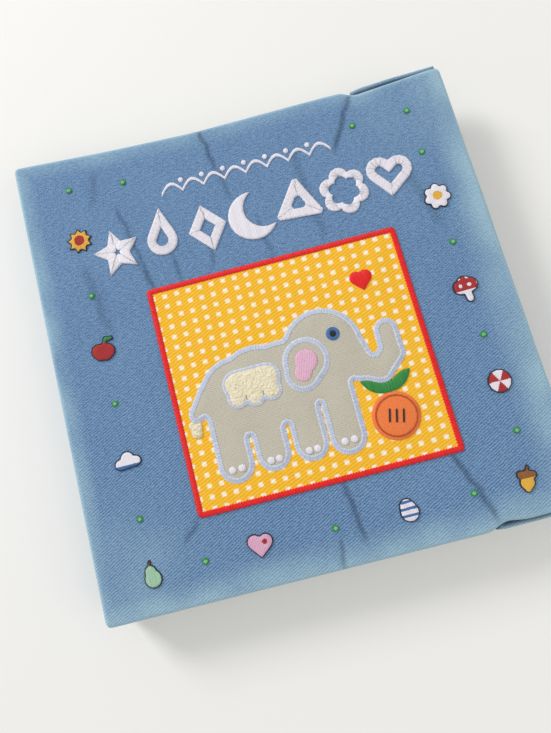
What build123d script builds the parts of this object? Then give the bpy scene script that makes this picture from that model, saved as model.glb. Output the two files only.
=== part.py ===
"""Padded denim cloth baby book, lying closed on its back cover.

X runs from the spine to the fore edge, Y from tail to head and Z up. The origin is under the book's middle.
Each cover is one piece of denim turned in round a pad and a lining. The turn-in at the fore edge is wide
and stands open at head and tail. The leaves and the spine cloth carry both covers, which hinge on the
spine's edges.
"""
import os
from math import asin, atan2, cos, degrees, pi, sin

from build123d import *

os.makedirs("parts", exist_ok=True)

# The book as a whole
book_width = 250.0
book_height = 257.0
denim = 1.0
lining_cloth = 0.8
cover_thickness = 5.5
leaf_thickness = 2.6
leaf_gap = 0.35
leaf_count = 5
hinge_clearance = 0.3
cover_rim_radius = 2.6
cover_corner_cut = 3.0

# The cover's outline: soft cloth, hollow along the head and drawn in where the open turn-in starts
spine_tail_pull = 1.0
head_hollow_pull = 8.0
head_hollow_from_fore = 145.0
seam_head_pull = 9.0
seam_end_head_pull = 12.9
fore_head_pull_y = 9.5
fore_head_pull_x = 5.0
fore_tail_pull = 4.0
seam_end_from_fore_head = 56.0
seam_end_from_fore_tail = 41.0
seam_slope_length = 12.0
back_cover_inset = 2.0

# Turn-ins on the inside of the covers
turn_in_narrow = 8.0
turn_in_wide = 54.0
turn_in_proud = 3.6
pocket_mouth = 0.9
pocket_depth = 8.0
pocket_from_seam_end = 1.5

# Leaves and binding
page_head_inset = 14.0
page_tail_inset = 5.0
page_fore_inset = 7.0
page_corner_cut = 3.0
leaf_rim_radius = 1.2
leaf_core_inset = 14.0
spine_cloth_thickness = 1.2
spine_end_inset = 1.5
spine_edge_cut = 0.4
stitch_length = 7.0
stitch_pitch = 12.0
stitch_width = 0.8
stitch_height = 0.4
stitch_from_spine = 12.0

# Picture panel on the front cover, measured inside its stitched border
panel_width = 131.0
panel_height = 117.0
panel_tail_flare = 1.9
panel_head_slope = 1.4
panel_centre_x = 2.4
panel_tail_margin = 45.7
panel_cloth = 0.6
border_width = 3.0
border_height = 1.1

# Embroidery and applique
applique_cloth = 0.5
satin_width = 2.8
satin_height = 1.0
satin_thin = 0.4
figure_size = 100.0
row_shape_size = 27.0
row_stroke = 5.0
row_pitch = 25.5
row_from_head = 65.5
scallop_pitch = 12.0
scallop_count = 8
scallop_stroke = 1.8
scallop_centre_x = 2.5
scallops_from_head = 39.5
scallop_rise = 5.0
scallop_steps = 6
dot_radius = 1.5
broad_sides = 24
fine_sides = 12
dot_sides = 8
motif_size = 15.0
motif_outline = 0.7
motif_base = 0.4
motif_fill = 0.4

# Heights of the stack, from the table up
block_bottom_z = cover_thickness + hinge_clearance
block_thickness = leaf_count * leaf_thickness + (leaf_count - 1) * leaf_gap
block_top_z = block_bottom_z + block_thickness
front_inner_z = block_top_z + hinge_clearance
book_top_z = front_inner_z + cover_thickness
panel_top_z = book_top_z + panel_cloth
figure_top_z = panel_top_z + applique_cloth

# Edges of the book as seen from above
spine_x = -book_width / 2
fore_x = book_width / 2
head_y = book_height / 2
tail_y = -book_height / 2
panel_centre_y = tail_y + panel_tail_margin + panel_height / 2
row_centre_y = head_y - row_from_head
scallop_y = head_y - scallops_from_head


def cover_corners(inset):
    """Corners of a cover, clockwise from the spine's tail end; inset draws in all edges but the spine's."""
    cut = cover_corner_cut
    low_y = tail_y + spine_tail_pull + inset
    top_y = head_y - inset
    seam_head_x = fore_x - seam_end_from_fore_head
    seam_tail_x = fore_x - seam_end_from_fore_tail
    fore_head_x = fore_x - fore_head_pull_x - inset
    fore_head_y = head_y - fore_head_pull_y - inset
    fore_tail_x = fore_x - inset
    fore_tail_y = tail_y + fore_tail_pull + inset
    return [
        (spine_x + cut, low_y),
        (spine_x, low_y + cut),
        (spine_x, top_y - cut),
        (spine_x + cut, top_y),
        (fore_x - head_hollow_from_fore, top_y - head_hollow_pull),
        (seam_head_x - seam_slope_length, top_y - seam_head_pull),
        (seam_head_x, top_y - seam_end_head_pull),
        (fore_head_x - cut, fore_head_y),
        (fore_head_x, fore_head_y - cut),
        (fore_tail_x, fore_tail_y + cut),
        (fore_tail_x - cut, fore_tail_y),
        (seam_tail_x, fore_tail_y),
        (seam_tail_x - seam_slope_length, low_y),
    ]


def rounded_slab(corners, inset, start_z, height, rim_radius):
    """A cushion-edged slab on an outline drawn in by inset, from start_z up or down by height."""
    with BuildPart() as slab:
        with BuildSketch(Plane.XY.offset(start_z)):
            with BuildLine():
                Polyline(*corners, close=True)
            make_face()
            if inset > 0:
                offset(amount=-inset, kind=Kind.INTERSECTION, mode=Mode.REPLACE)
        extrude(amount=height)
        rims = slab.faces().sort_by(Axis.Z)[0].edges() + slab.faces().sort_by(Axis.Z)[-1].edges()
        fillet(rims, radius=rim_radius)
    return slab.part


def turned_in_area(inset, inner_z):
    """The part of a cover's inside that the denim leaves open for the lining."""
    flap_free_x = fore_x - turn_in_wide - inset
    with BuildSketch(Plane.XY.offset(inner_z)) as area:
        with BuildLine():
            Polyline(*cover_corners(inset), close=True)
        make_face()
        offset(amount=-turn_in_narrow, kind=Kind.INTERSECTION, mode=Mode.REPLACE)
        with Locations(((spine_x + flap_free_x) / 2, 0)):
            Rectangle(flap_free_x - spine_x, book_height, mode=Mode.INTERSECT)
    return area.sketch


def pocket_mouths(inset, start_z):
    """The stretches at head and tail where the wide turn-in stands open, seen from above."""
    far_x = fore_x - fore_head_pull_x - cover_corner_cut - inset
    head_near_x = fore_x - seam_end_from_fore_head + pocket_from_seam_end
    tail_near_x = fore_x - seam_end_from_fore_tail + pocket_from_seam_end
    head_low_y = head_y - seam_end_head_pull - inset - pocket_depth
    tail_high_y = tail_y + fore_tail_pull + inset + pocket_depth
    with BuildSketch(Plane.XY.offset(start_z)) as mouths:
        with Locations(((head_near_x + far_x) / 2, (head_low_y + head_y) / 2)):
            Rectangle(far_x - head_near_x, head_y - head_low_y)
        with Locations(((tail_near_x + far_x) / 2, (tail_high_y + tail_y) / 2)):
            Rectangle(far_x - tail_near_x, tail_high_y - tail_y)
    return mouths.sketch


def turn_in_flap(inset, inner_z):
    """The wide turn-in at the fore edge, a little taller than the layer over it."""
    free_x = fore_x - turn_in_wide - inset
    fore_head_x = fore_x - fore_head_pull_x - inset - cover_rim_radius
    fore_tail_x = fore_x - inset - cover_rim_radius
    head_seam_y = head_y - seam_end_head_pull - inset
    head_fore_y = head_y - fore_head_pull_y - inset
    flap_tail_y = tail_y + fore_tail_pull + inset - turn_in_proud
    tail_near_x = fore_x - seam_end_from_fore_tail
    with BuildSketch(Plane.XY.offset(inner_z)) as flap:
        with BuildLine():
            Polyline(
                (free_x, head_seam_y + turn_in_proud),
                (fore_head_x, head_fore_y + turn_in_proud),
                (fore_tail_x, flap_tail_y),
                (tail_near_x, flap_tail_y),
                (free_x, flap_tail_y + turn_in_narrow),
                close=True,
            )
        make_face()
    return flap.sketch


def cover_pieces(inset, inner_z, outward):
    """Denim, wadding and lining of one cover. outward is 1 where its outer face looks up, -1 where down."""
    corners = cover_corners(inset)
    hollow_z = inner_z + outward * denim
    hollow_height = outward * (cover_thickness - denim - denim)
    hollow_rim = cover_rim_radius - denim
    outside = rounded_slab(corners, 0, inner_z, outward * cover_thickness, cover_rim_radius)
    hollow = rounded_slab(corners, denim, hollow_z, hollow_height, hollow_rim)
    window = turned_in_area(inset, inner_z)
    mouths = pocket_mouths(inset, hollow_z)
    flap = turn_in_flap(inset, inner_z)

    with BuildPart() as cloth:
        add(outside)
        add(hollow, mode=Mode.SUBTRACT)
        extrude(window, amount=outward * denim, mode=Mode.SUBTRACT)
        extrude(mouths, amount=outward * pocket_mouth, mode=Mode.SUBTRACT)
        extrude(flap, amount=outward * denim)

    with BuildPart() as lining:
        with BuildSketch(Plane.XY.offset(hollow_z)):
            with BuildLine():
                Polyline(*corners, close=True)
            make_face()
            offset(amount=-cover_rim_radius, kind=Kind.INTERSECTION, mode=Mode.REPLACE)
        extrude(amount=outward * lining_cloth)
        extrude(mouths, amount=outward * lining_cloth, mode=Mode.SUBTRACT)

    with BuildPart() as wadding:
        add(hollow)
        with BuildSketch(Plane.XY.offset(hollow_z + outward * lining_cloth)):
            Rectangle(book_width, book_height)
        extrude(amount=outward * cover_thickness, mode=Mode.INTERSECT)
        extrude(mouths, amount=hollow_height, mode=Mode.SUBTRACT)
    return cloth.part, lining.part, wadding.part


def save(part, name):
    """Label a finished piece and write it."""
    part.label = name
    export_step(part, f"parts/{name}.step")


# Covers: the front one lies on the leaves, the back one on the table
front_cloth, front_lining, front_wadding = cover_pieces(0, front_inner_z, 1)
save(front_cloth, "front_cover_cloth")
save(front_lining, "front_cover_lining")
save(front_wadding, "front_cover_wadding")
back_cloth, back_lining, back_wadding = cover_pieces(back_cover_inset, cover_thickness, -1)
save(back_cloth, "back_cover_cloth")
save(back_lining, "back_cover_lining")
save(back_wadding, "back_cover_wadding")


# Leaves: padded cloth, each with a rounded rim, sewn together in a core along the spine
page_spine_x = spine_x + spine_cloth_thickness
page_fore_x = fore_x - fore_head_pull_x - page_fore_inset
page_top_y = head_y - page_head_inset
page_low_y = tail_y + page_tail_inset
page_corners = [
    (page_spine_x, page_top_y),
    (page_fore_x - page_corner_cut, page_top_y),
    (page_fore_x, page_top_y - page_corner_cut),
    (page_fore_x, page_low_y + page_corner_cut),
    (page_fore_x - page_corner_cut, page_low_y),
    (page_spine_x, page_low_y),
]
leaf_bottoms = [block_bottom_z + number * (leaf_thickness + leaf_gap) for number in range(leaf_count)]
leaves = [
    rounded_slab(page_corners, 0, leaf_z, leaf_thickness, leaf_rim_radius)
    for leaf_z in leaf_bottoms
]
core_low_z = block_bottom_z + leaf_thickness / 2
with BuildPart() as page_block:
    for leaf in leaves:
        add(leaf)
    with BuildSketch(Plane.XY.offset(core_low_z)):
        with BuildLine():
            Polyline(
                (page_spine_x + leaf_rim_radius, page_top_y - leaf_core_inset),
                (page_fore_x - leaf_core_inset, page_top_y - leaf_core_inset),
                (page_fore_x - leaf_core_inset, page_low_y + leaf_core_inset),
                (page_spine_x + leaf_rim_radius, page_low_y + leaf_core_inset),
                close=True,
            )
        make_face()
    extrude(amount=block_thickness - leaf_thickness)
save(page_block.part, "page_block")

# Spine cloth: the strip of denim that the leaves are sewn to, between the two hinges
spine_length = book_height - spine_tail_pull - 2 * spine_end_inset
spine_centre_y = spine_tail_pull / 2
with BuildPart() as spine_cloth:
    with BuildSketch(Plane.XY.offset(block_bottom_z)):
        with Locations((spine_x + spine_cloth_thickness / 2, spine_centre_y)):
            Rectangle(spine_cloth_thickness, spine_length)
    extrude(amount=block_thickness)
    chamfer(spine_cloth.edges().filter_by(Axis.Z), length=spine_edge_cut)
save(spine_cloth.part, "spine_cloth")

# Binding stitches: short runs of thread on the first and last leaf, beside the spine
stitch_count = int((page_top_y - page_low_y - 2 * leaf_core_inset) / stitch_pitch)
stitch_sides = [(block_top_z, stitch_height), (block_bottom_z, -stitch_height)]
with BuildPart() as binding_stitches:
    for side_z, side_height in stitch_sides:
        with BuildSketch(Plane.XY.offset(side_z)):
            with Locations((spine_x + stitch_from_spine, (page_top_y + page_low_y) / 2)):
                with GridLocations(stitch_pitch, stitch_pitch, 1, stitch_count):
                    Rectangle(stitch_width, stitch_length)
        extrude(amount=side_height)
save(binding_stitches.part, "binding_stitches")


def flat_piece(name, sketch, base_z, height):
    """A cloth or thread piece laid flat on the front cover."""
    with BuildPart() as piece:
        with BuildSketch(Plane.XY.offset(base_z)):
            add(sketch)
        extrude(amount=height)
    save(piece.part, name)


def panel_sketch(margin):
    """The panel's outline grown by margin; its tail edge is wider and its head edge slopes a little."""
    half_width = panel_width / 2
    half_height = panel_height / 2
    with BuildSketch(mode=Mode.PRIVATE) as outline:
        with BuildLine():
            Polyline(
                (panel_centre_x - half_width, panel_centre_y + half_height + panel_head_slope / 2),
                (panel_centre_x + half_width, panel_centre_y + half_height - panel_head_slope / 2),
                (panel_centre_x + half_width + panel_tail_flare, panel_centre_y - half_height),
                (panel_centre_x - half_width, panel_centre_y - half_height),
                close=True,
            )
        make_face()
        if margin > 0:
            offset(amount=margin, kind=Kind.INTERSECTION, mode=Mode.REPLACE)
    return outline.sketch


# Picture panel and its satin border
panel_outline = panel_sketch(0)
border_outline = panel_sketch(border_width)
flat_piece("picture_panel", panel_outline, book_top_z, panel_cloth)
with BuildSketch() as border_sketch:
    add(border_outline)
    add(panel_outline, mode=Mode.SUBTRACT)
flat_piece("panel_border", border_sketch.sketch, book_top_z, border_height)


def round_shape(size, margin, sides, circle_shares, slot_shares):
    """One outline from rounds (x, y, radius) and slots (x, y, x, y, width), all shares of size.

    It is grown by margin. Thread turns a corner in short straight steps, sides of them to a full turn.
    """
    with BuildSketch(mode=Mode.PRIVATE) as shape:
        for x_share, y_share, radius_share in circle_shares:
            with Locations((size * x_share, size * y_share)):
                RegularPolygon(size * radius_share + margin, sides)
        for x1_share, y1_share, x2_share, y2_share, width_share in slot_shares:
            run = Vector(x2_share - x1_share, y2_share - y1_share) * size
            turn = degrees(atan2(run.Y, run.X))
            half_width = size * width_share / 2 + margin
            with Locations(Location((size * x1_share, size * y1_share, 0), turn)):
                with Locations((run.length / 2, 0)):
                    Rectangle(run.length, 2 * half_width)
                with Locations((0, 0), (run.length, 0)):
                    RegularPolygon(half_width, sides)
    return shape.sketch


def placed(sketch, centre, turn=0):
    """The sketch turned about its own middle and moved to centre."""
    with BuildSketch(mode=Mode.PRIVATE) as result:
        with Locations(Location((*centre, 0), turn)):
            add(sketch)
    return result.sketch


def less(sketch, *cutters):
    """The sketch with the cutters taken away."""
    with BuildSketch(mode=Mode.PRIVATE) as result:
        add(sketch)
        for cutter in cutters:
            add(cutter, mode=Mode.SUBTRACT)
    return result.sketch


# The picture: an elephant in profile with a blanket, and an orange on the ground
figure_centre = (panel_centre_x, panel_centre_y)
elephant_circle_shares = [
    (-0.33, -0.06, 0.20),
    (-0.22, -0.05, 0.22),
    (-0.08, -0.04, 0.20),
    (0.15, 0.07, 0.20),
]
elephant_slot_shares = [
    (-0.43, -0.12, -0.43, -0.40, 0.16),
    (-0.23, -0.15, -0.23, -0.39, 0.15),
    (-0.03, -0.15, -0.03, -0.39, 0.15),
    (0.16, -0.05, 0.16, -0.40, 0.16),
    (0.27, 0.08, 0.31, -0.06, 0.15),
    (0.31, -0.06, 0.41, -0.11, 0.12),
    (0.41, -0.11, 0.49, -0.04, 0.11),
    (0.49, -0.04, 0.49, 0.08, 0.10),
    (-0.50, 0.00, -0.57, -0.10, 0.06),
]
ear_circle_shares = [(0.05, 0.03, 0.11), (0.02, -0.03, 0.085)]
ear_pink_shares = [(0.05, 0.03, 0.06), (0.02, -0.03, 0.045)]
blanket_circle_shares = [(-0.34, -0.07, 0.05), (-0.25, -0.08, 0.05), (-0.16, -0.07, 0.05)]
blanket_slot_shares = [(-0.33, 0.00, -0.17, 0.00, 0.14)]
eye_share = (0.22, 0.13)
eye_radius_share = 0.036
pupil_radius_share = 0.02
toe_radius_share = 0.02
toe_height_share = -0.42
toe_x_shares = [-0.455, -0.405, -0.252, -0.208, -0.052, -0.008, 0.135, 0.185]
tuft_circle_shares = [(-0.59, -0.155, 0.035), (-0.59, -0.19, 0.03)]
orange_circle_shares = [(0.42, -0.36, 0.125)]
orange_stitch_share = 0.105
orange_stitch_width_share = 0.008
mark_x_shares = [-0.035, 0.0, 0.035]
mark_length_share = 0.07
mark_width_share = 0.009
leaf_turn_degrees = [-55, 0, 55]
leaf_length_share = 0.16
leaf_width_share = 0.06
heart_centre_share = (0.44, 0.36)
heart_size_share = 0.13


def on_figure(x_share, y_share):
    """A place on the picture, from shares of the figure's size."""
    return (figure_centre[0] + figure_size * x_share, figure_centre[1] + figure_size * y_share)


def leaf_sketch(length, width):
    """A pointed leaf of two arcs, from the origin up."""
    with BuildSketch(mode=Mode.PRIVATE) as leaf_outline:
        with BuildLine():
            ThreePointArc((0, 0), (width / 2, length / 2), (0, length))
            ThreePointArc((0, length), (-width / 2, length / 2), (0, 0))
        make_face()
    return leaf_outline.sketch


def heart_sketch(size, margin):
    """A heart of two rounds and a square stood on its corner, grown by margin."""
    lobe_share = 0.27
    lobe = size * lobe_share
    reach = lobe + margin
    with BuildSketch(mode=Mode.PRIVATE) as heart:
        with Locations(Location((0, 0), 45)):
            Rectangle(2 * reach, 2 * reach)
            with Locations((lobe / 2, 0)):
                Rectangle(lobe, 2 * reach)
            with Locations((0, lobe / 2)):
                Rectangle(2 * reach, lobe)
            with Locations((lobe, 0), (0, lobe)):
                RegularPolygon(reach, fine_sides)
    return heart.sketch


def figure_shape(margin, sides, circle_shares, slot_shares):
    """A round shape of the picture, in its place and grown by margin."""
    return placed(round_shape(figure_size, margin, sides, circle_shares, slot_shares), figure_centre)


half_satin = satin_width / 2
elephant_inside = figure_shape(-half_satin, broad_sides, elephant_circle_shares, elephant_slot_shares)
elephant_outside = figure_shape(half_satin, broad_sides, elephant_circle_shares, elephant_slot_shares)
flat_piece("elephant_cloth", elephant_inside, panel_top_z, applique_cloth)
flat_piece("elephant_stitching", less(elephant_outside, elephant_inside), panel_top_z, satin_height)

ear_inside = figure_shape(-half_satin, broad_sides, ear_circle_shares, [])
ear_outside = figure_shape(half_satin, broad_sides, ear_circle_shares, [])
ear_pink = figure_shape(0, broad_sides, ear_pink_shares, [])
flat_piece("ear_cloth", ear_inside, figure_top_z, applique_cloth)
flat_piece("ear_stitching", less(ear_outside, ear_inside), figure_top_z, satin_height)
flat_piece("ear_pink_satin", ear_pink, figure_top_z + applique_cloth, satin_thin)

blanket_inside = figure_shape(-half_satin / 2, broad_sides, blanket_circle_shares, blanket_slot_shares)
blanket_outside = figure_shape(half_satin / 2, broad_sides, blanket_circle_shares, blanket_slot_shares)
flat_piece("blanket_plush", blanket_inside, figure_top_z, satin_height)
flat_piece("blanket_stitching", less(blanket_outside, blanket_inside), figure_top_z, satin_height)

with BuildSketch() as pupil_sketch:
    with Locations(on_figure(*eye_share)):
        RegularPolygon(figure_size * pupil_radius_share, fine_sides)
with BuildSketch() as eye_sketch:
    with Locations(on_figure(*eye_share)):
        RegularPolygon(figure_size * eye_radius_share, fine_sides)
flat_piece("eye_ring", less(eye_sketch.sketch, pupil_sketch.sketch), figure_top_z, satin_thin)
flat_piece("eye_pupil", pupil_sketch.sketch, figure_top_z, satin_thin)

with BuildSketch() as toe_sketch:
    with Locations(*[on_figure(toe_x_share, toe_height_share) for toe_x_share in toe_x_shares]):
        RegularPolygon(figure_size * toe_radius_share, dot_sides)
flat_piece("toenails", toe_sketch.sketch, figure_top_z, satin_thin)

tuft = figure_shape(0, fine_sides, tuft_circle_shares, [])
flat_piece("tail_tuft", less(tuft, elephant_outside), panel_top_z, satin_height)

orange = figure_shape(0, broad_sides, orange_circle_shares, [])
orange_x_share, orange_y_share, orange_radius_share = orange_circle_shares[0]
orange_centre = on_figure(orange_x_share, orange_y_share)
flat_piece("orange_felt", less(orange, elephant_outside), panel_top_z, satin_height)
orange_top_z = panel_top_z + satin_height
orange_stitch_inside = figure_size * (orange_stitch_share - orange_stitch_width_share)
with BuildSketch() as orange_stitch:
    with Locations(orange_centre):
        RegularPolygon(figure_size * orange_stitch_share, broad_sides)
        RegularPolygon(orange_stitch_inside, broad_sides, mode=Mode.SUBTRACT)
flat_piece("orange_stitching", orange_stitch.sketch, orange_top_z, satin_thin)
with BuildSketch() as mark_sketch:
    with Locations(Location((*orange_centre, 0), -15)):
        with Locations(*[(figure_size * mark_x_share, 0) for mark_x_share in mark_x_shares]):
            Rectangle(figure_size * mark_width_share, figure_size * mark_length_share)
flat_piece("orange_marks", mark_sketch.sketch, orange_top_z, satin_thin)

leaf = leaf_sketch(figure_size * leaf_length_share, figure_size * leaf_width_share)
stalk = (orange_centre[0], orange_centre[1] + figure_size * orange_radius_share)
with BuildSketch() as leaves_sketch:
    for leaf_turn in leaf_turn_degrees:
        add(placed(leaf, stalk, leaf_turn))
flat_piece("orange_leaves", less(leaves_sketch.sketch, orange, elephant_outside), panel_top_z, satin_height)

with BuildSketch() as heart_place:
    with Locations(on_figure(*heart_centre_share)):
        add(heart_sketch(figure_size * heart_size_share, 0))
flat_piece("red_heart", heart_place.sketch, panel_top_z, satin_height)


def straight_sketch(corners, margin):
    """A straight-sided outline grown by margin."""
    with BuildSketch(mode=Mode.PRIVATE) as outline:
        with BuildLine():
            Polyline(*corners, close=True)
        make_face()
        if margin != 0:
            offset(amount=margin, kind=Kind.INTERSECTION, mode=Mode.REPLACE)
    return outline.sketch


def star_sketch(size, margin, point_count, inner_share):
    """A star of straight sides with one point up."""
    corners = []
    for number in range(2 * point_count):
        reach = size / 2 if number % 2 == 0 else size / 2 * inner_share
        turn = pi / 2 + pi * number / point_count
        corners.append((reach * cos(turn), reach * sin(turn)))
    return straight_sketch(corners, margin)


def flower_sketch(size, margin, petal_count, petal_share):
    """A flower of round petals round a middle."""
    reach = size / 2 + margin
    petal = 2 * reach * petal_share
    with BuildSketch(mode=Mode.PRIVATE) as flower:
        RegularPolygon(reach - petal, fine_sides)
        with PolarLocations(reach - petal, petal_count, start_angle=90):
            RegularPolygon(petal, fine_sides)
    return flower.sketch


def drop_sketch(size, margin):
    """A drop: a round bowl below a point, with straight sides that touch the bowl."""
    bowl_share = 0.31
    bowl = size * bowl_share + margin
    point_y = bowl * (1 - bowl_share) / bowl_share
    touch_angle = asin(bowl / point_y)
    touch = (bowl * cos(touch_angle), bowl * sin(touch_angle))
    with BuildSketch(mode=Mode.PRIVATE) as drop:
        RegularPolygon(bowl, broad_sides)
        with BuildLine():
            Polyline(touch, (0, point_y), (-touch[0], touch[1]), close=True)
        make_face()
    return drop.sketch


def triangle_sketch(size, margin):
    """An upright triangle with its corners cut."""
    reach_share = 0.59
    tip_share = 0.09
    with BuildSketch(mode=Mode.PRIVATE) as triangle:
        RegularPolygon(size * reach_share + 2 * margin, 3, rotation=90)
        chamfer(triangle.vertices(), length=size * tip_share)
    return triangle.sketch


def diamond_sketch(size, margin):
    """A diamond taller than it is wide."""
    half_width_share = 0.4
    half_width = size * half_width_share
    corners = [(0, size / 2), (half_width, 0), (0, -size / 2), (-half_width, 0)]
    return straight_sketch(corners, margin)


def moon_sketch(size, margin):
    """A crescent: one round cut by another."""
    bite_share = 0.42
    bite_shift_share = 0.26
    with BuildSketch(mode=Mode.PRIVATE) as moon:
        RegularPolygon(size / 2 + margin, broad_sides)
        with Locations((size * bite_shift_share, size * bite_shift_share / 2)):
            RegularPolygon(size * bite_share - margin, broad_sides, mode=Mode.SUBTRACT)
    return moon.sketch


# Row of seven large white shapes above the panel, each worked as a broad satin stroke; the moon is solid
star_inner_share = 0.5
row_petal_share = 0.2
row_shapes = [
    ("row_star", star_sketch, (5, star_inner_share), 8),
    ("row_drop", drop_sketch, (), -6),
    ("row_diamond", diamond_sketch, (), 4),
    ("row_moon", moon_sketch, (), 0),
    ("row_triangle", triangle_sketch, (), -5),
    ("row_flower", flower_sketch, (6, row_petal_share), 7),
    ("row_heart", heart_sketch, (), -8),
]
row_start_x = -row_pitch * (len(row_shapes) - 1) / 2
for row_number, (row_name, make_shape, facts, row_turn) in enumerate(row_shapes):
    row_shape = make_shape(row_shape_size, 0, *facts)
    if row_name != "row_moon":
        row_shape = less(row_shape, make_shape(row_shape_size, -row_stroke, *facts))
    row_place = (row_start_x + row_pitch * row_number, row_centre_y)
    flat_piece(row_name, placed(row_shape, row_place, row_turn), book_top_z, satin_height)

# Fine white scallops above the row, with a small stitched dot over each join
scallop_start_x = scallop_centre_x - scallop_pitch * scallop_count / 2
scallop_wave_shares = [step / scallop_steps for step in range(scallop_steps * scallop_count + 1)]
scallop_wave = [
    (scallop_start_x + scallop_pitch * share, scallop_y + scallop_rise * abs(sin(pi * share)))
    for share in scallop_wave_shares
]
scallop_low_wave = [(x, y - scallop_stroke) for x, y in reversed(scallop_wave)]
with BuildSketch() as scallops:
    with BuildLine():
        Polyline(*scallop_wave, *scallop_low_wave, close=True)
    make_face()
flat_piece("fine_scallops", scallops.sketch, book_top_z, satin_thin)
with BuildSketch() as scallop_dots:
    with Locations((scallop_centre_x, scallop_y + scallop_rise)):
        with GridLocations(scallop_pitch, scallop_pitch, scallop_count - 1, 1):
            RegularPolygon(dot_radius, dot_sides)
flat_piece("scallop_dots", scallop_dots.sketch, book_top_z, satin_thin)

# Small motifs round the cover: a dark outline thread with the coloured threads raised inside it
side_x_share = -0.765
fore_x_share = 0.78
low_y_share = -0.83
sun_ray_share = 0.68
daisy_petal_share = 0.17
cloud_circle_shares = [(-0.27, -0.06, 0.21), (0.02, 0.08, 0.27), (0.30, -0.06, 0.20)]
cloud_slot_shares = [(-0.27, -0.13, 0.30, -0.13, 0.28)]
toadstool_circle_shares = [(-0.18, 0.12, 0.28), (0.0, 0.20, 0.30), (0.18, 0.12, 0.28)]
toadstool_slot_shares = [(0.0, 0.0, 0.0, -0.34, 0.30)]
apple_circle_shares = [(-0.15, -0.08, 0.30), (0.15, -0.08, 0.30), (-0.10, -0.20, 0.24), (0.10, -0.20, 0.24)]
apple_slot_shares = [(0.0, 0.10, 0.10, 0.40, 0.16), (0.12, 0.34, 0.30, 0.38, 0.18)]
acorn_circle_shares = [(0.0, -0.10, 0.27)]
acorn_slot_shares = [
    (0.0, -0.10, 0.0, -0.30, 0.28),
    (-0.20, 0.16, 0.20, 0.16, 0.30),
    (0.0, 0.25, 0.05, 0.43, 0.13),
]
ball_circle_shares = [(0.0, 0.0, 0.42)]
egg_circle_shares = [(0.0, -0.09, 0.34), (0.0, 0.02, 0.31), (0.0, 0.14, 0.26)]
pear_circle_shares = [(0.0, -0.14, 0.32), (0.0, 0.14, 0.20)]
pear_slot_shares = [(0.0, -0.05, 0.0, 0.12, 0.44), (0.0, 0.28, 0.08, 0.44, 0.12)]
apple = (fine_sides, apple_circle_shares, apple_slot_shares)
cloud = (fine_sides, cloud_circle_shares, cloud_slot_shares)
pear = (fine_sides, pear_circle_shares, pear_slot_shares)
egg = (fine_sides, egg_circle_shares, [])
acorn = (fine_sides, acorn_circle_shares, acorn_slot_shares)
ball = (fine_sides, ball_circle_shares, [])
toadstool = (fine_sides, toadstool_circle_shares, toadstool_slot_shares)
motifs = [
    ("motif_sun", star_sketch, (9, sun_ray_share), 0),
    ("motif_apple", round_shape, apple, -8),
    ("motif_cloud", round_shape, cloud, 4),
    ("motif_pear", round_shape, pear, 10),
    ("motif_heart", heart_sketch, (), -6),
    ("motif_egg", round_shape, egg, 12),
    ("motif_acorn", round_shape, acorn, -10),
    ("motif_ball", round_shape, ball, 0),
    ("motif_toadstool", round_shape, toadstool, 6),
    ("motif_daisy", flower_sketch, (7, daisy_petal_share), 0),
]
motif_place_shares = [
    (side_x_share, 0.585),
    (side_x_share, 0.10),
    (side_x_share, -0.375),
    (side_x_share, low_y_share),
    (-0.31, low_y_share),
    (0.30, low_y_share),
    (fore_x_share, low_y_share),
    (0.795, -0.44),
    (fore_x_share, -0.05),
    (fore_x_share, 0.36),
]
for (motif_name, make_shape, facts, motif_turn), motif_share in zip(motifs, motif_place_shares):
    motif_place = (fore_x * motif_share[0], head_y * motif_share[1])
    motif_ground = placed(make_shape(motif_size, 0, *facts), motif_place, motif_turn)
    motif_raised = placed(make_shape(motif_size, -motif_outline, *facts), motif_place, motif_turn)
    with BuildPart() as motif:
        with BuildSketch(Plane.XY.offset(book_top_z)):
            add(motif_ground)
        extrude(amount=motif_base)
        with BuildSketch(Plane.XY.offset(book_top_z + motif_base)):
            add(motif_raised)
        extrude(amount=motif_fill)
    save(motif.part, motif_name)

# Green dots between the motifs
dot_place_shares = [
    (-0.765, 0.82), (-0.765, 0.335), (-0.765, -0.135), (-0.765, -0.61),
    (-0.54, -0.83), (0.0, -0.83), (0.565, -0.83), (0.80, -0.64),
    (0.79, -0.245), (0.785, 0.155), (0.775, 0.565), (0.765, 0.76), (0.52, 0.76), (-0.52, 0.79),
]
with BuildSketch() as green_dots:
    with Locations(*[(fore_x * x_share, head_y * y_share) for x_share, y_share in dot_place_shares]):
        RegularPolygon(dot_radius, dot_sides)
flat_piece("green_dots", green_dots.sketch, book_top_z, motif_base + motif_fill)
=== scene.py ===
"""Looks of a closed, padded denim baby book. Metres, X from spine to fore edge, Y from tail to head."""

import math
import random

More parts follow.
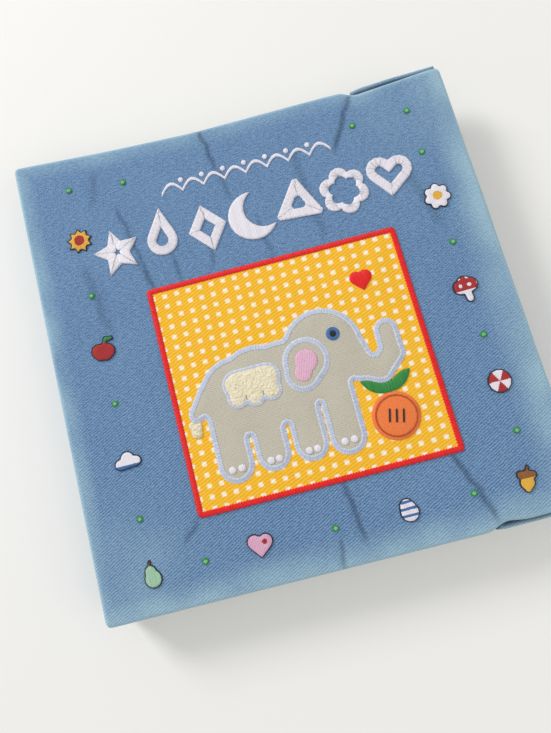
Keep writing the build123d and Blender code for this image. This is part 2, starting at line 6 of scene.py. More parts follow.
import bmesh
import bpy
from mathutils import Matrix, Vector, noise
from mathutils.bvhtree import BVHTree
from mathutils.kdtree import KDTree
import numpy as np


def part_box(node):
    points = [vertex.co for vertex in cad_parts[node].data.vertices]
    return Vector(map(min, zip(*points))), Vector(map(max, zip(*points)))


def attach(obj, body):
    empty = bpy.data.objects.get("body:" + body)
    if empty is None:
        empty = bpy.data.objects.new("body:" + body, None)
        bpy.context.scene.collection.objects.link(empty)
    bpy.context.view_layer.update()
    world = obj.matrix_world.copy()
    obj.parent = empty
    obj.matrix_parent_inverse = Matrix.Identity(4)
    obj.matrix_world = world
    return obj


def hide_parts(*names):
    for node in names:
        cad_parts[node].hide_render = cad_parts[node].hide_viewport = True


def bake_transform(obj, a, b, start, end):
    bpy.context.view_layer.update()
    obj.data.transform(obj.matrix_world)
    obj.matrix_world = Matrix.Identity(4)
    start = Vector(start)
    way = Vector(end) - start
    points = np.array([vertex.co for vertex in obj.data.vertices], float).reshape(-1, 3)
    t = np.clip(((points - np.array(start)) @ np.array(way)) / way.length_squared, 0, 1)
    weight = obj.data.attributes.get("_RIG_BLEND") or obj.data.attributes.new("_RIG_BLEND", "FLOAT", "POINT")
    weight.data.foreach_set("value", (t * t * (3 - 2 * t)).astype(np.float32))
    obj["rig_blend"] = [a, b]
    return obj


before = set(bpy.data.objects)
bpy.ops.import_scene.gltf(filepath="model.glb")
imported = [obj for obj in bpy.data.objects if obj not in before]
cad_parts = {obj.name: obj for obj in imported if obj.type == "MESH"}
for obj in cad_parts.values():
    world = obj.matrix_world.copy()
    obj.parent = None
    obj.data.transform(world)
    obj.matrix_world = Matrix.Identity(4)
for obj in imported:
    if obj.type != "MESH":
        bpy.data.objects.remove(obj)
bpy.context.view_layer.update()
mm = 0.001

# Front cover
# One piece of washed light-blue denim twill, turned in round a soft pad. The turn-in at the fore edge is a
# wide flap that stands open at head and tail. Years of use have creased it and faded its edges.
spine_x = -125.0
fore_head_x = 120.0
fore_tail_x = 125.0
tail_y = -125.0
cover_length = 245.0
inner_z, outer_z = (corner.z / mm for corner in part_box("front_cover_cloth"))
rim_radius = 2.6
corner_radius = 3.2
turn_in = 8.0
turn_in_cloth = 1.0
mouth_gap = 0.9
flap_free_x = 70.0
# Broken lines of the head and tail edges, as x and y.
head_line = [(-125, 128.4), (-70, 123.6), (-20, 120.6), (56, 119.8), (66, 119.2), (70, 115.6), (121, 118.8)]
tail_line = [(-125, -127.5), (70, -127.5), (76, -127.0), (81, -123.4), (93, -125.4), (126, -124.6)]
# Each crease runs from x, y to x, y; after them come its depth and its width.
creases = [
    (-72, 88, -61, 38, 0.42, 1.2), (-70, 60, -61, 38, 0.45, 1.0), (-18, 122, -13, 94, 0.6, 1.3),
    (-12, 94, -9, 74, 0.3, 1.6), (-47, 52, -46, 38, 0.45, 1.2), (-27, 52, -27, 40, 0.4, 1.2),
    (69, 117, 52, 86, 0.6, 1.5), (10, -86, 13, -117, 0.6, 1.4), (1, -112, -1, -129, 0.45, 1.3),
    (66, -86, 79, -122, 0.65, 1.5), (-66, -86, -76, -96, 0.45, 1.4), (-80, 112, -84, 92, 0.25, 2.4),
    (30, 92, 34, 40, 0.25, 2.4), (-96, 60, -90, 20, 0.25, 3.0), (84, 70, 96, 30, 0.25, 3.0),
    (2, 62, 5, 36, 0.3, 1.6),
]


def step(low, high, value):
    """0 below low, 1 above high and a soft slope between."""
    share = min(max((value - low) / (high - low), 0.0), 1.0)
    return share * share * (3.0 - 2.0 * share)


def height_on(line, x):
    """Height of a broken line at x, its corners softened over a few millimetres."""
    total = 0.0
    for shift in (-3.0, -1.0, 1.0, 3.0):
        at = min(max(x + shift, line[0][0]), line[-1][0])
        for (x0, y0), (x1, y1) in zip(line, line[1:]):
            if at <= x1:
                total += y0 + (y1 - y0) * (at - x0) / (x1 - x0)
                break
    return total / 4.0


def in_corner(x, y, left, right, low, high, radius):
    """Pull a point near a corner of the outline in, so that the corner is round."""
    across = radius - min(x - left, right - x)
    along = radius - min(y - low, high - y)
    if across <= 0.0 or along <= 0.0:
        return x, y
    share = max(across, along) / math.hypot(across, along)
    middle_x = left + radius if x - left < right - x else right - radius
    middle_y = low + radius if y - low < high - y else high - radius
    return middle_x + (x - middle_x) * share, middle_y + (y - middle_y) * share


def on_cover(u, v, inset, drawn_in=0.0):
    """Where a point of a cover lies seen from above; u and v run from 0 to 1 across and up."""
    sway = 0.5 * noise.noise(Vector((v * 5.0, 3.0, 0.0)))
    left = spine_x + inset
    right = fore_tail_x + (fore_head_x - fore_tail_x) * v + sway - drawn_in - inset
    x = left + (right - left) * u
    low = height_on(tail_line, x) + drawn_in + inset
    high = height_on(head_line, x) - drawn_in - inset
    y = low + (high - low) * v
    return in_corner(x, y, left, right, low, high, max(corner_radius - inset, 0.1))


def crease_height(x, y):
    """Creases are shallow valleys with a low ridge on one side."""
    height = 0.0
    for x0, y0, x1, y1, depth, width in creases:
        run_x, run_y = x1 - x0, y1 - y0
        length = math.hypot(run_x, run_y)
        along = ((x - x0) * run_x + (y - y0) * run_y) / length
        beside = ((x - x0) * run_y - (y - y0) * run_x) / length
        beside += 1.4 * noise.noise(Vector((along * 0.12, x0, y0)))
        if abs(beside) > 8.0 * width or not -6.0 < along < length + 6.0:
            continue
        fade = step(-4.0, 5.0, along) * step(-4.0, 6.0, length - along)
        valley = math.exp(-((beside / width) ** 2))
        ridge = math.exp(-(((beside - 2.6 * width) / (2.0 * width)) ** 2))
        height += depth * fade * (0.45 * ridge - valley)
    return height


def front_height(x, y, edge):
    """How far the outer face rises over its level: low at the edges, waving, and swollen at the flap."""
    rise = -0.55 * (1.0 - step(0.0, 15.0, edge))
    rise += 0.3 * noise.noise(Vector((x / 42.0, y / 55.0, 1.7)))
    rise += 0.1 * noise.noise(Vector((x / 13.0, y / 17.0, 4.2)))
    rise += crease_height(x, y)
    rise += 0.9 * math.exp(-((x - 86.0) / 9.0) ** 2 - ((y + 119.0) / 6.0) ** 2)
    return rise


def padded_form(cells, place, radius, rim_steps, levels):
    """A closed padded piece: a grid for each face, joined round the edge by a half-round rim.

    place(u, v, inset) gives a plan position and levels(x, y, edge) the upper and the lower height there.
    """
    form = bmesh.new()
    bmesh.ops.create_grid(form, x_segments=cells[0], y_segments=cells[1], size=0.5)
    sheet = form.verts.layers.float_vector.new("sheet")
    for vert in form.verts:
        vert[sheet] = (vert.co.x + 0.5, vert.co.y + 0.5, 0.0)
    lower = bmesh.ops.duplicate(form, geom=form.verts[:] + form.edges[:] + form.faces[:])["geom"]
    lower_faces = [part for part in lower if isinstance(part, bmesh.types.BMFace)]
    for vert in {vert for face in lower_faces for vert in face.verts}:
        vert[sheet] = (vert[sheet][0], vert[sheet][1], rim_steps)
    rim = [edge for edge in form.edges if edge.is_boundary and edge.verts[0][sheet][2] == 0.0]
    for ring in range(1, rim_steps + 1):
        grown = bmesh.ops.extrude_edge_only(form, edges=rim)["geom"]
        for vert in (part for part in grown if isinstance(part, bmesh.types.BMVert)):
            vert[sheet] = (vert[sheet][0], vert[sheet][1], ring)
        rim = [part for part in grown if isinstance(part, bmesh.types.BMEdge)]
    flat = form.verts.layers.float_vector.new("flat")
    size_x = place(1.0, 0.5, radius)[0] - place(0.0, 0.5, radius)[0]
    size_y = place(0.5, 1.0, radius)[1] - place(0.5, 0.0, radius)[1]
    for vert in form.verts:
        u, v, ring = vert[sheet]
        turn = math.pi * ring / rim_steps
        inset = radius * (1.0 - math.sin(turn))
        x, y = place(u, v, inset)
        edge = inset + min((0.5 - abs(u - 0.5)) * size_x, (0.5 - abs(v - 0.5)) * size_y)
        top, bottom = levels(x, y, edge)
        middle, half = (top + bottom) / 2.0, (top - bottom) / 2.0
        vert.co = Vector((x, y, middle + half * math.cos(turn))) * mm
        away_x, away_y = place(u, v, radius - radius * turn)
        vert[flat] = Vector((away_x, away_y, edge)) * mm
    bmesh.ops.remove_doubles(form, verts=form.verts[:], dist=0.00002)
    bmesh.ops.recalc_face_normals(form, faces=form.faces[:])
    uv = form.loops.layers.uv.new("Cloth")
    for face in form.faces:
        for loop in face.loops:
            loop[uv].uv = loop.vert[flat].xy
    form.normal_update()
    return form


def join(form, other):
    """Move another form's geometry into this one."""
    bmesh.ops.recalc_face_normals(other, faces=other.faces[:])
    joined = bpy.data.meshes.new("joined")
    other.to_mesh(joined)
    other.free()
    form.from_mesh(joined)
    bpy.data.meshes.remove(joined)


def smooth_piece(form, name, *materials):
    """A finished form becomes a smooth-shaded piece."""
    bmesh.ops.recalc_face_normals(form, faces=form.faces[:])
    mesh = bpy.data.meshes.new(name)
    form.to_mesh(mesh)
    form.free()
    mesh.shade_smooth()
    for material in materials:
        mesh.materials.append(material)
    piece = bpy.data.objects.new(name, mesh)
    bpy.context.scene.collection.objects.link(piece)
    return piece


def stand_for(form, name, node, *materials, body="front_cover"):
    """A finished form becomes a piece that rides on a body and stands for a CAD node, which it hides."""
    piece = smooth_piece(form, name, *materials)
    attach(piece, body)
    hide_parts(node)
    return piece


def linear(code):
    """An sRGB hex colour in linear light."""
    parts = [int(code[at:at + 2], 16) / 255.0 for at in (1, 3, 5)]
    return [part / 12.92 if part <= 0.04045 else ((part + 0.055) / 1.055) ** 2.4 for part in parts] + [1.0]


def add(material, kind, *values, named=None, output=0, **settings):
    """Add a node and give one of its outputs; values fill its first inputs, and named fills others."""
    tree = material.node_tree
    node = tree.nodes.new("ShaderNode" + kind)
    for key, value in settings.items():
        setattr(node, key, value)
    for key, value in [*enumerate(values), *(named or {}).items()]:
        if isinstance(value, bpy.types.NodeSocket):
            tree.links.new(value, node.inputs[key])
        else:
            node.inputs[key].default_value = linear(value) if isinstance(value, str) else value
    return node.outputs[output]


def new_finish(name, roughness, sheen=0.0):
    """A material of that roughness and sheen, still without colour and relief."""
    material = bpy.data.materials.new(name)
    material.use_nodes = True
    shader = material.node_tree.nodes["Principled BSDF"]
    shader.inputs["Roughness"].default_value = roughness
    shader.inputs["Sheen Weight"].default_value = sheen
    shader.inputs["Sheen Roughness"].default_value = 0.5
    shader.inputs["Specular IOR Level"].default_value = 0.25
    return material


def ribs(material, place, pitch, angle, wander=0.0, size=9.0):
    """A wave from -1 to 1 across ribs of that pitch in millimetres, which wander by a share of it."""
    turn = math.radians(angle)
    across = (-math.sin(turn) / (pitch * mm), math.cos(turn) / (pitch * mm), 0.0)
    count = add(material, "VectorMath", place, across, operation="DOT_PRODUCT", output="Value")
    cloud = add(material, "TexNoise", place, 0.0, 1.0 / (size * mm), 1.0, 0.6)
    shift = add(material, "Math", cloud, wander, -wander / 2.0, operation="MULTIPLY_ADD")
    moved = add(material, "Math", count, shift, operation="ADD")
    turns = add(material, "Math", moved, math.tau, operation="MULTIPLY")
    return add(material, "Math", turns, operation="SINE")


def paint(material, share, first, second, relief, depth):
    """Colour the surface from first to second by share, and raise it by relief, depth millimetres high."""
    links, shader = material.node_tree.links, material.node_tree.nodes["Principled BSDF"]
    colour = add(material, "Mix", share, named={6: first, 7: second}, data_type="RGBA", output=2)
    links.new(colour, shader.inputs["Base Color"])
    raised = add(material, "Bump", named={"Strength": 1.0, "Distance": depth * mm, "Height": relief})
    links.new(raised, shader.inputs["Normal"])


# Washed denim twill: pale weft shows between dyed warp in diagonal ribs, matt and soft. The rib pitch is
# drawn at 1.3 mm, about as coarse as it shows at this distance. The values of a noise node are its place, w,
# scale, detail and roughness.
denim = new_finish("washed_denim_twill", 0.92, 0.12)
place = add(denim, "UVMap", uv_map="Cloth")
patchy = add(denim, "TexNoise", place, 0.0, 1.0 / (38.0 * mm), 3.0, 0.6)
speck = add(denim, "TexNoise", place, 0.0, 1.0 / (0.62 * mm), 4.0, 0.6)
along_ribs = add(denim, "Mapping", place, named={
    "Rotation": (0.0, 0.0, math.radians(-28.0)), "Scale": (0.4, 1.5, 1.0)})
dashes = add(denim, "TexNoise", along_ribs, 0.0, 1.0 / (1.1 * mm), 1.0, 0.6)
low_down = add(denim, "MapRange", add(denim, "SeparateXYZ", place, output=1), 0.09, -0.1, 0.06, 0.375,
               interpolation_type="SMOOTHSTEP")
rib_part = add(denim, "Math", ribs(denim, place, 1.3, 28.0, 0.9), low_down, operation="MULTIPLY")
dash_part = add(denim, "Math", dashes, 1.3, -1.85, operation="MULTIPLY_ADD")
speck_part = add(denim, "Math", speck, 3.4, dash_part, operation="MULTIPLY_ADD")
yarn = add(denim, "Math", rib_part, speck_part, operation="ADD", use_clamp=True)
dyed = add(denim, "Mix", patchy, named={6: "#40618b", 7: "#50749c"}, data_type="RGBA", output=2)
pale = add(denim, "Mix", patchy, named={6: "#799cc2", 7: "#89abcd"}, data_type="RGBA", output=2)
blue = add(denim, "Mix", yarn, named={6: dyed, 7: pale}, data_type="RGBA", output=2)
wear = add(denim, "Attribute", attribute_name="wear", output="Fac")
on_yarn = add(denim, "Math", yarn, 0.45, 0.62, operation="MULTIPLY_ADD")
worn = add(denim, "Math", wear, on_yarn, operation="MULTIPLY", use_clamp=True)
faded = add(denim, "Mix", worn, named={6: blue, 7: "#a6c8d6"}, data_type="RGBA", output=2)
# Painted shade: where the fold attribute is set, dark navy #1d3047 stands in for the shade in creases, in
# the flap's mouths and under the outer layer's edge.
fold = add(denim, "Attribute", attribute_name="fold", output="Fac")
relief = add(denim, "Math", speck_part, 0.5, rib_part, operation="MULTIPLY_ADD")
paint(denim, fold, faded, "#1d3047", relief, 0.16)


def front_levels(x, y, edge):
    """Upper and lower height of the front cover's pad, thinner over the flap and thinnest at its mouths."""
    top = outer_z + front_height(x, y, edge)
    from_fore = fore_tail_x + (fore_head_x - fore_tail_x) * (y - tail_y) / cover_length - x
    over_flap = step(flap_free_x - 3.0, flap_free_x, x) * step(2.0, 5.0, from_fore)
    at_head = step(106.0, 110.0, y) * step(69.0, 71.0, x)
    at_tail = step(-114.0, -118.0, y) * step(76.0, 80.0, x)
    mouth = max(at_head, at_tail) * step(2.0, 6.0, from_fore)
    return top, inner_z + over_flap * turn_in_cloth + mouth * mouth_gap


def add_wear(form, side_width, reach=1.0):
    """Fade towards the edges of a cover, unevenly; painted shade darkens the valleys of its creases."""
    wear_layer = form.verts.layers.float.new("wear")
    painted_shade_layer = form.verts.layers.float.new("fold")
    flat = form.verts.layers.float_vector["flat"]
    for vert in form.verts:
        x, y, z = vert.co / mm
        left = 0.6 * (1.0 - step(2.0, 13.0, x - spine_x))
        right = 0.9 * (1.0 - step(2.0, side_width, fore_tail_x - x - 2.0))
        top = 0.5 * (1.0 - step(1.0, 13.0, height_on(head_line, x) - y))
        low = 0.95 * (1.0 - step(1.0, 19.0, y - height_on(tail_line, x)))
        tail_corner = 0.38 * math.exp(-(math.dist((x, y), (-110.0, -106.0)) / 32.0) ** 2)
        head_corner = 0.42 * math.exp(-(math.dist((x, y), (106.0, 104.0)) / 26.0) ** 2)
        cloud = 0.75 + 0.6 * noise.noise(Vector((x / 21.0, y / 21.0, 7.0)))
        rim = 0.6 * math.exp(-((vert[flat][2] / mm - 0.6) / 1.3) ** 2)
        rubbed = max(left, right, top, low, tail_corner, head_corner) * cloud + rim
        vert[wear_layer] = min(max(rubbed * reach, 0.0), 1.0)
        # Painted shade: dark navy in the crease valleys of the raised outer face, where shade falls.
        vert[painted_shade_layer] = min(max(-1.05 * crease_height(x, y), 0.0), 0.5) if z > outer_z - 2.5 else 0.0


form = padded_form((236, 168), on_cover, rim_radius, 10, front_levels)
add_wear(form, 24.0)
# Painted shade: the cloth inside the two mouths of the flap is drawn dark navy, where shade falls.
painted_shade_layer = form.verts.layers.float["fold"]
for vert in form.verts:
    x, y, z = vert.co / mm
    in_mouth = (x > 70.5 and y > 108.0) or (x > 77.5 and y < -116.0)
    if z < outer_z - 1.9 and in_mouth and x < 117.0:
        vert[painted_shade_layer] = 0.9
window_fore_x = 76.0
window_middle_y = -2.0
window_half_length = 112.0


def recess(form, side, inner):
    """Sink a cover's inner face within its turn-ins by their thickness; side is -1 where it looks down."""
    window = []
    for face in form.faces:
        x, y, z = face.calc_center_median() / mm
        if face.normal.z * side > 0.9 and (z - inner) * side > -1.5:
            if spine_x + turn_in < x < window_fore_x and abs(y - window_middle_y) < window_half_length:
                window.append(face)
    grown = bmesh.ops.extrude_face_region(form, geom=window)["geom"]
    left = [face for face in window if face.is_valid]
    bmesh.ops.delete(form, geom=left, context="FACES_ONLY")
    for vert in (part for part in grown if isinstance(part, bmesh.types.BMVert)):
        vert.co.z -= side * turn_in_cloth * mm


recess(form, -1.0, inner_z)
flap_tail_line = [(70, -122.5), (74, -126.0), (79, -128.1), (103, -127.9), (126, -127.6)]
flap_head_line = [(69, 119.6), (75, 121.0), (94, 121.7), (125, 121.9)]


def on_flap(u, v, inset):
    """The free part of the turn-in lies under the pad and stands out beyond it at head and tail."""
    right = fore_tail_x + (fore_head_x - fore_tail_x) * v - 1.2 - inset
    x = flap_free_x + inset + (right - flap_free_x - inset) * u
    low = height_on(flap_tail_line, x) + inset
    high = height_on(flap_head_line, x) - inset
    return x, low + (high - low) * v


def flap_levels(x, y, edge):
    """A single thickness of cloth, waving a little at its free ends."""
    wave = 0.12 * noise.noise(Vector((x / 11.0, y / 17.0, 3.3)))
    return inner_z + turn_in_cloth + wave, inner_z + 0.02 + max(wave, 0.0)


flap = padded_form((22, 120), on_flap, 0.5, 4, flap_levels)
add_wear(flap, 10.0, 0.8)
# The flap is faded only where it stands out past the outer layer; inside the mouths and just past the outer
# layer's edge it gets painted shade, dark navy.
painted_shade_layer = flap.verts.layers.float["fold"]
for vert in flap.verts:
    x, y, z = vert.co / mm
    if y > 0.0:
        shade = 1.0 - step(2.2, 3.0, y - height_on(head_line, x))
    else:
        shade = 1.0 - step(1.6, 2.3, height_on(tail_line, x) - y)
    vert[painted_shade_layer] = 0.85 * shade if z > inner_z + 0.6 and abs(y) > 100.0 else 0.0
join(form, flap)
front_denim = stand_for(form, "front_cover_denim", "front_cover_cloth", denim)

# Picture panel
# A piece of yellow cotton with woven white squares, laid on the cover and held by the stitching round it. It
# has shrunk a little less than the denim, so it stands up softly between its edges.
panel_corners = [(-65.9, -85.6), (72.7, -85.6), (-65.9, 37.7), (70.8, 36.3)]
panel_corner_radius = 3.6
ray_start_z = 0.05


def tree_of(piece):
    """A lookup of a piece's surface, for what is laid on it."""
    return BVHTree.FromObject(piece, bpy.context.evaluated_depsgraph_get())


def ground(x, y, trees):
    """Height of the highest of some surfaces under a point, in millimetres."""
    start, down = Vector((x * mm, y * mm, ray_start_z)), Vector((0.0, 0.0, -1.0))
    hits = [tree.ray_cast(start, down)[0] for tree in trees]
    return max((hit.z / mm for hit in hits if hit is not None), default=outer_z)


def on_panel(u, v, inset):
    """A place on the panel, whose head edge slopes and whose fore edge leans out."""
    (x0, y0), (x1, _), (_, y2), (x3, y3) = panel_corners
    low, high = y0 + inset, y2 + (y3 - y2) * u - inset
    left, right = x0 + inset, x1 + (x3 - x1) * v - inset
    x, y = left + (right - left) * u, low + (high - low) * v
    return in_corner(x, y, left, right, low, high, panel_corner_radius)


def panel_levels(x, y, edge):
    """The panel lies on the denim and puckers by a few tenths of a millimetre."""
    below = ground(x, y, on_denim)
    pucker = 0.3 * step(0.0, 16.0, edge)
    pucker += 0.2 * noise.noise(Vector((x / 9.0, y / 26.0, 2.0))) * step(2.0, 9.0, edge)
    return below + 0.6 + pucker, below - 0.25


# Yarn-dyed cotton: golden yellow with rows of small white squares. Its twill lines are drawn at 1.6 mm,
# several times their real pitch, so that they show at this distance.
check_cloth = new_finish("yellow_check_cotton", 0.85, 0.08)
place = add(check_cloth, "UVMap", uv_map="Cloth")
bend = add(check_cloth, "TexNoise", place, 0.0, 1.0 / (14.0 * mm), 1.0, 0.6)
cloudy = add(check_cloth, "TexNoise", place, 0.0, 1.0 / (26.0 * mm), 2.0, 0.6)
fibre = add(check_cloth, "TexNoise", place, 0.0, 1.0 / (0.7 * mm), 1.0, 0.6)
shift = add(check_cloth, "Math", bend, 0.0008, -0.0004, operation="MULTIPLY_ADD")
square_edge = 0.5
# The squares lie where two sets of bands cross; each set has its pitch, its first band's middle and a width.
bands = []
for axis, pitch, start, width in ((0, 6.43, -59.9, 2.45), (1, 5.72, -79.6, 2.25)):
    away = add(check_cloth, "SeparateXYZ", place, output=axis)
    for operation, value in (("ADD", shift), ("ADD", (200.0 * pitch - start) * mm), ("MODULO", pitch * mm),
                             ("SUBTRACT", pitch * mm / 2.0), ("ABSOLUTE", 0.0)):
        away = add(check_cloth, "Math", away, value, operation=operation)
    bands.append(add(check_cloth, "MapRange", away, (width / 2.0 + square_edge) * mm,
                     (width / 2.0 - square_edge) * mm, interpolation_type="SMOOTHSTEP"))
squares = add(check_cloth, "Math", *bands, operation="MULTIPLY")
twist = ribs(check_cloth, place, 1.6, 24.0, 0.8, 7.0)
weave = add(check_cloth, "Math", twist, 0.3, fibre, operation="MULTIPLY_ADD", use_clamp=True)
tone = add(check_cloth, "Mix", cloudy, named={6: "#fbbf24", 7: "#ffcd3c"}, data_type="RGBA", output=2)
deeper = add(check_cloth, "Math", weave, 0.55, operation="MULTIPLY")
tone = add(check_cloth, "Mix", deeper, named={6: tone, 7: "#eba22c"}, data_type="RGBA", output=2)
cream = add(check_cloth, "Math", weave, 0.3, operation="MULTIPLY")
white = add(check_cloth, "Mix", cream, named={6: "#fff4e0", 7: "#f0dfba"}, data_type="RGBA", output=2)
paint(check_cloth, squares, tone, white, weave, 0.2)

on_denim = (tree_of(front_denim),)
form = padded_form((92, 82), on_panel, 0.3, 3, panel_levels)
panel = stand_for(form, "picture_panel_cloth", "picture_panel", check_cloth)
on_cloth = on_denim + (tree_of(panel),)

# Panel border
# A band of close red satin stitching over the panel's raw edge, through panel and cover. Its threads run
# across the band.
border_width = 3.1


def outline_loops(node):
    """The outlines of a flat CAD piece seen from above, largest first, as (x, y) in millimetres."""
    form = bmesh.new()
    form.from_mesh(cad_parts[node].data)
    bmesh.ops.remove_doubles(form, verts=form.verts[:], dist=0.00001)
    form.normal_update()
    low = min(vert.co.z for vert in form.verts) + 0.00002
    for face in form.faces:
        face.tag = face.normal.z < -0.9 and max(vert.co.z for vert in face.verts) < low
    follow = {}
    for face in [face for face in form.faces if face.tag]:
        for loop in face.loops:
            if not any(other.tag and other != face for other in loop.edge.link_faces):
                follow.setdefault(loop.link_loop_next.vert, []).append(loop.vert)
    found = []
    while any(follow.values()):
        start = max(follow, key=lambda vert: len(follow[vert]))
        path, onward = [start], follow[start].pop()
        while onward != start:
            path.append(onward)
            onward = follow[onward].pop()
        found.append([(vert.co.x / mm, vert.co.y / mm) for vert in path])
    form.free()
    return sorted(found, key=lambda path: min(x for x, _ in path) - max(x for x, _ in path))


def even(path, pitch, soften):
    """Points at an even pitch along a closed path in millimetres, its corners softened that many times."""
    ring = path + path[:1]
    runs = [math.dist(a, b) for a, b in zip(ring, ring[1:])]
    count = max(round(sum(runs) / pitch), 8)
    points = []
    at, passed = 0, 0.0
    for number in range(count):
        goal = sum(runs) * number / count
        while at < len(runs) - 1 and passed + runs[at] < goal:
            passed += runs[at]
            at += 1
        share = min((goal - passed) / max(runs[at], 1e-9), 1.0)
        (x0, y0), (x1, y1) = ring[at], ring[at + 1]
        points.append((x0 + (x1 - x0) * share, y0 + (y1 - y0) * share))
    for _ in range(soften):
        threes = zip(points[-1:] + points[:-1], points, points[1:] + points[:1])
        points = [((a[0] + 2 * b[0] + c[0]) / 4, (a[1] + 2 * b[1] + c[1]) / 4) for a, b, c in threes]
    return points


def sides(path):
    """The unit vector to the left of a closed path at each of its points."""
    found = []
    for (x0, y0), (x1, y1) in zip(path[-1:] + path[:-1], path[1:] + path[:1]):
        length = max(math.hypot(x1 - x0, y1 - y0), 1e-9)
        found.append(((y0 - y1) / length, (x1 - x0) / length))
    return found


def inset_path(path, distance):
    """A closed path moved inwards by a distance."""
    area = sum(x0 * y1 - x1 * y0 for (x0, y0), (x1, y1) in zip(path, path[1:] + path[:1]))
    turn = distance if area > 0 else -distance
    return [(x + turn * side_x, y + turn * side_y) for (x, y), (side_x, side_y) in zip(path, sides(path))]


def ribbon(form, path, width, height, trees=on_cloth, sink=0.35, round_cells=12, ragged=0.0):
    """Lay a band of satin stitching along a closed path: a flattened tube with its threads across.

    Its underside lies sink below the surfaces in trees; ragged makes every other row that much narrower.
    """
    uv = form.loops.layers.uv.verify()
    count = len(path)
    made = bmesh.ops.create_grid(form, x_segments=count, y_segments=round_cells, size=0.5)["verts"]
    beside = sides(path)
    run = [0.0]
    for a, b in zip(path, path[1:] + path[:1]):
        run.append(run[-1] + math.dist(a, b) * mm)
    place_of = {}
    for vert in made:
        row = round((vert.co.x + 0.5) * count)
        column = round((vert.co.y + 0.5) * round_cells)
        place_of[vert] = (run[row], column / round_cells)
        x, y = path[row % count]
        side_x, side_y = beside[row % count]
        turn = math.tau * column / round_cells
        wide = width * (1.0 + 0.07 * noise.noise(Vector((x * 0.9, y * 0.9, 0.0)))) + ragged * (row % 2 - 0.5)
        across = -math.cos(turn) * wide / 2.0
        x, y = x + side_x * across, y + side_y * across
        lift = math.sin(turn)
        rise = height * abs(lift) ** 0.45 if lift > 0.0 else -sink * abs(lift)
        vert.co = Vector((x, y, ground(x, y, trees) + rise - 0.05)) * mm
    for vert in made:
        for loop in vert.link_loops:
            loop[uv].uv = place_of[vert]
    bmesh.ops.remove_doubles(form, verts=made, dist=0.00001)


def satin(name, dark, light, roughness=0.45, pitch=0.8, middle=None):
    """Satin stitching: glossy threads side by side across the band, drawn at 0.8 mm, twice the real pitch.

    On a band laid by ribbon(), middle is the colour between its two paler, uneven edges.
    """
    material = new_finish(name, roughness, 0.05)
    place = add(material, "UVMap")
    stretched = add(material, "VectorMath", place, (1.0 / (pitch * mm), 2.2, 1.0), operation="MULTIPLY")
    uneven = add(material, "TexNoise", stretched, named={"Scale": 1.0, "Detail": 2.0})
    turns = add(material, "Math", add(material, "SeparateXYZ", place), math.tau / (pitch * mm),
                operation="MULTIPLY")
    wave = add(material, "Math", turns, operation="SINE")
    wave = add(material, "Math", wave, 0.25, -0.05, operation="MULTIPLY_ADD")
    thread = add(material, "Math", uneven, 1.1, wave, operation="MULTIPLY_ADD", use_clamp=True)
    if middle is None:
        paint(material, thread, dark, light, thread, 0.3)
        return material
    edges = add(material, "Mix", thread, named={6: dark, 7: light}, data_type="RGBA", output=2)
    across = add(material, "SeparateXYZ", place, output=1)
    away = add(material, "Math", across, 0.25, operation="SUBTRACT")
    away = add(material, "Math", away, operation="ABSOLUTE")
    away = add(material, "Math", uneven, 0.1, away, operation="MULTIPLY_ADD")
    inside = add(material, "MapRange", away, 0.17, 0.1, 0.0, 0.75, interpolation_type="SMOOTHSTEP")
    paint(material, inside, edges, middle, thread, 0.3)
    return material


def new_form():
    """An empty form with a UV map."""
    form = bmesh.new()
    form.loops.layers.uv.new("Thread")
    return form


red_satin = satin("red_satin_thread", "#da1018", "#ff2c2c")
corners = [panel_corners[number] for number in (0, 1, 3, 2)]
form = new_form()
ribbon(form, inset_path(even(corners, 0.75, 3), 1.4), border_width, height=0.5, ragged=0.9)
stand_for(form, "panel_border_satin", "panel_border", red_satin)

# Elephant
# Grey twill laid on the panel, puffed a little between its edges, with pale satin stitching round it. The
# ear is a second layer of the same twill with an edge of its own.
edge_inset = 1.4


def nearest_of(points):
    """A lookup of the nearest of some points."""
    lookup = KDTree(len(points))
    for number, (x, y) in enumerate(points):
        lookup.insert((x, y, 0.0), number)
    lookup.balance()
    return lookup


